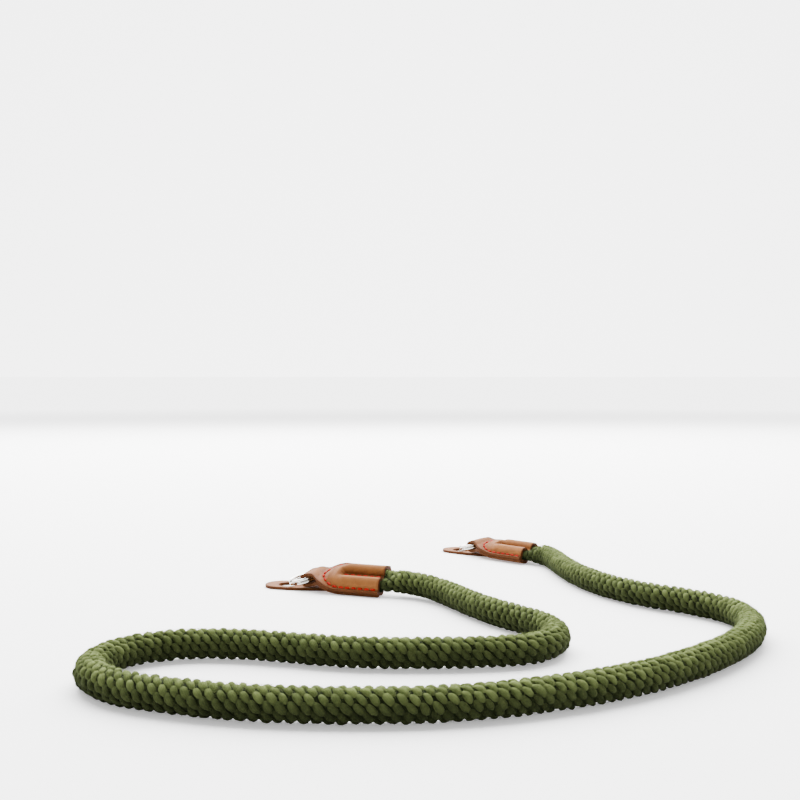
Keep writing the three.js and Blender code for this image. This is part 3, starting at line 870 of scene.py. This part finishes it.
def stitching(side, lay):
    """All the stitches of one tab, on its front and on its back."""
    points = []
    for seam in SEAMS:
        steps = np.linalg.norm(np.diff(seam, axis=0), axis=1)
        reach = np.concatenate([[0], np.cumsum(steps)])
        count = int(reach[-1] / STITCH_PITCH)
        for number in range(count):
            at = (number + 0.5) * reach[-1] / count
            for layer in (1, -1):
                ends = []
                for place in (at - STITCH_SEEN / 3, at, at + STITCH_SEEN / 3):
                    along = np.interp(place, reach, seam[:, 0])
                    across = np.interp(place, reach, seam[:, 1])
                    ends.append(tab_layer(lay, layer, along, across))
                line = ends[2][1] - ends[0][1]
                line /= np.linalg.norm(line)
                facing = ends[1][2] - line * np.dot(line, ends[1][2])
                facing /= np.linalg.norm(facing)
                level = np.cross(facing, line)
                x, y, z = stitch.shape
                centre = ends[1][1] + facing * THREAD * STITCH_PROUD
                points.append(centre + x[:, None] * line + y[:, None] * level + z[:, None] * facing)
    piece = stitch.copies(f"stitches_{side}", np.concatenate(points), thread.material)
    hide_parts(f"tab_{side}")
    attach(piece, "root")


for side, lay in LAYS.items():
    stitching(side, lay)

# Split rings
# Each is two turns of bright nickel-plated spring wire, which lie flat against each other, with a short
# crossing where the first turn steps over to the second. It hangs in the tab's eye.
RING_CROSSOVER = math.radians(20)
RING_WIRE_END = math.radians(27)
RING_CROSSOVER_AT = math.radians(62)
RING_STEPS = 240

nickel = Finish("bright nickel plate", Metallic=1.0, Base_Color=(0.68, 0.66, 0.62, 1))
nickel.vary(Roughness=nickel.noise(2 * MM, detail=4) * 0.14 + 0.09)

for side, lay in LAYS.items():
    middle, outward, across, away = lay.frame(eye_middle)
    centre = middle + outward * ring_radius
    wire = bpy.data.curves.new(f"ring_{side}", "CURVE")
    wire.dimensions = "3D"
    wire.bevel_depth = RING_WIRE / 2
    wire.bevel_resolution = 4
    wire.use_fill_caps = True
    line = wire.splines.new("POLY")
    line.points.add(RING_STEPS)
    turns = np.linspace(RING_WIRE_END, 4 * math.pi - RING_WIRE_END, RING_STEPS + 1)
    for point, turn in zip(line.points, turns):
        step = turn_offset * (2 * ease(turn, 2 * math.pi - RING_CROSSOVER, 2 * math.pi + RING_CROSSOVER) - 1)
        angle = turn + RING_CROSSOVER_AT
        radial = outward * math.cos(angle) + across * math.sin(angle)
        point.co = (*(centre + radial * ring_radius + away * step), 1)
    line.use_smooth = True
    ring = bpy.data.objects.new(f"split_ring_{side}", wire)
    bpy.context.scene.collection.objects.link(ring)
    bpy.ops.object.select_all(action="DESELECT")
    ring.select_set(True)
    bpy.context.view_layer.objects.active = ring
    bpy.ops.object.convert(target="MESH")
    ring = bpy.context.object
    ring.data.materials.clear()
    ring.data.materials.append(nickel.material)
    bpy.ops.object.shade_smooth_by_angle(angle=math.radians(50))
    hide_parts(f"ring_{side}")
    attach(ring, "root")

# Leather guards
# A loose almond of the same leather hangs on each ring by its punched hole, and keeps the ring from
# scratching. It lies flat on the surface under the tab's neck.
GUARD_LENGTH = 40 * MM
GUARD_WIDTH = 18 * MM
GUARD_TAIL_RADIUS = 2.6 * MM
GUARD_HOLE_DIAMETER = 10.5 * MM
GUARD_HOLE_INSET = 13 * MM
GUARD_OFFSET = 9 * MM
SIDE_PULL = 0.42
TAIL_PULL_ALONG = 0.3
TAIL_PULL_OUT = 0.24
GUARD_EDGE_ROUND = 0.35 * MM
GUARD_DARK_RIM = 0.9 * MM
GUARD_POINTS = 128


def almond_outline():
    """Half the outline from the round end to the tail, then mirrored, at even steps along it."""
    half = GUARD_WIDTH / 2
    head = GUARD_HOLE_INSET - half
    tail = GUARD_HOLE_INSET - GUARD_LENGTH + GUARD_TAIL_RADIUS
    span = head - tail
    line = [(head + half * math.cos(a), half * math.sin(a))
            for a in np.linspace(0, math.pi / 2, 60, endpoint=False)]
    side = ((head, half), (head - SIDE_PULL * span, half),
            (tail + TAIL_PULL_ALONG * span, GUARD_TAIL_RADIUS + TAIL_PULL_OUT * half),
            (tail, GUARD_TAIL_RADIUS))
    for t in np.linspace(0, 1, 80, endpoint=False):
        weights = ((1 - t) ** 3, 3 * t * (1 - t) ** 2, 3 * t**2 * (1 - t), t**3)
        line.append(tuple(sum(w * p[axis] for w, p in zip(weights, side)) for axis in (0, 1)))
    line += [(tail + GUARD_TAIL_RADIUS * math.cos(a), GUARD_TAIL_RADIUS * math.sin(a))
             for a in np.linspace(math.pi / 2, math.pi, 30)]
    line = np.array(line)
    reach = np.concatenate([[0], np.cumsum(np.linalg.norm(np.diff(line, axis=0), axis=1))])
    even = np.linspace(0, reach[-1], GUARD_POINTS // 2 + 1)
    upper = np.column_stack([np.interp(even, reach, line[:, axis]) for axis in (0, 1)])
    return np.vstack([upper, upper[-2:0:-1] * (1, -1)])


def leather_guard(name, lay):
    """The hole and the outline are two loops of as many points, bridged flat and then given their wall."""
    bpy.ops.object.select_all(action="DESELECT")
    bpy.ops.mesh.primitive_circle_add(vertices=GUARD_POINTS, radius=GUARD_HOLE_DIAMETER / 2)
    guard = bpy.context.object
    guard.name = f"leather_{name}"
    bpy.ops.object.mode_set(mode="EDIT")
    bpy.ops.mesh.primitive_circle_add(vertices=GUARD_POINTS, radius=GUARD_WIDTH)
    bpy.ops.object.mode_set(mode="OBJECT")
    outline = almond_outline()
    for vertex in list(guard.data.vertices)[GUARD_POINTS:]:
        angle = math.atan2(vertex.co.y, vertex.co.x) % (2 * math.pi)
        number = int(round(angle / (2 * math.pi) * GUARD_POINTS)) % GUARD_POINTS
        vertex.co.x, vertex.co.y = outline[number]
    bpy.ops.object.mode_set(mode="EDIT")
    bpy.ops.mesh.select_all(action="SELECT")
    bpy.ops.mesh.bridge_edge_loops(interpolation="LINEAR", number_cuts=8)
    bpy.ops.mesh.normals_make_consistent(inside=False)
    bpy.ops.object.mode_set(mode="OBJECT")
    mesh = guard.data
    heading = math.atan2(lay.outward[1], lay.outward[0])
    centre = lay.mouth + lay.outward * (eye_middle + ring_radius * math.cos(RING_TILT) + GUARD_OFFSET)
    if mesh.polygons[0].normal.z < 0:
        mesh.flip_normals()
    border = []
    for vertex in mesh.vertices:
        x, y = vertex.co.x, vertex.co.y
        rim = np.min(np.hypot(outline[:, 0] - x, outline[:, 1] - y))
        rim = min(rim, math.hypot(x, y) - GUARD_HOLE_DIAMETER / 2)
        border.append(math.exp(-(rim / GUARD_DARK_RIM) ** 2))
        vertex.co.x = centre[0] + x * math.cos(heading) - y * math.sin(heading)
        vertex.co.y = centre[1] + x * math.sin(heading) + y * math.cos(heading)
    cover_leather(mesh, [0.5] * len(border), border)
    thicken(guard, GUARD_THICKNESS)
    round_edges(guard, GUARD_EDGE_ROUND, 3)
    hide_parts(name)
    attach(guard, "root")


for side, lay in LAYS.items():
    leather_guard(f"guard_{side}", lay)

# Studio
# A pale seamless surface and soft light from above and behind, with a weak fill from the front. The surface
# glows more the farther off it is, so that it goes over into the sky.
FLOOR_SIZE = 80
GLOW_FROM = 0.7
GLOW_GROWS = 0.42
LIGHT_TARGET = (0, -0.05, 0)

floor_finish = Finish("pale studio surface", Base_Color=(0.88, 0.88, 0.88, 1), Roughness=0.8,
                      Specular_IOR_Level=0.1, Emission_Strength=3.0)
far_off = floor_finish.add("ShaderNodeVectorMath", {"operation": "LENGTH"}, {0: floor_finish.place},
                           out="Value")
far_glow = ((far_off - GLOW_FROM) * GLOW_GROWS).between(0, 1) ** 1.6
floor_finish.vary(Emission_Color=floor_finish.mix(far_glow, (0.14, 0.14, 0.14), (1, 1, 1)))
bpy.ops.object.select_all(action="DESELECT")
bpy.ops.mesh.primitive_plane_add(size=FLOOR_SIZE)
floor = bpy.context.object
floor.name = "studio_floor"
floor.data.materials.append(floor_finish.material)


def soft_light(name, place, size, power):
    light = bpy.data.lights.new(name, "AREA")
    light.shape = "SQUARE"
    light.size = size
    light.energy = power
    lamp = bpy.data.objects.new(name, light)
    lamp.location = place
    lamp.rotation_euler = (Vector(LIGHT_TARGET) - Vector(place)).to_track_quat("-Z", "Y").to_euler()
    bpy.context.scene.collection.objects.link(lamp)


soft_light("overhead", (-0.08, 0.85, 1.15), size=2.0, power=205)
soft_light("front fill", (0.6, -1.2, 0.7), size=0.8, power=2)
world = bpy.data.worlds.new("studio")
world.use_nodes = True
sky = Nodes(world.node_tree)
behind = sky.axis(sky.add("ShaderNodeTexCoord", out="Generated"), "Y")
sky.put(sky.tree.nodes["Background"].inputs["Color"], (behind * 4.4 + 1.3).between(0.5, 5.8))
bpy.context.scene.world = world
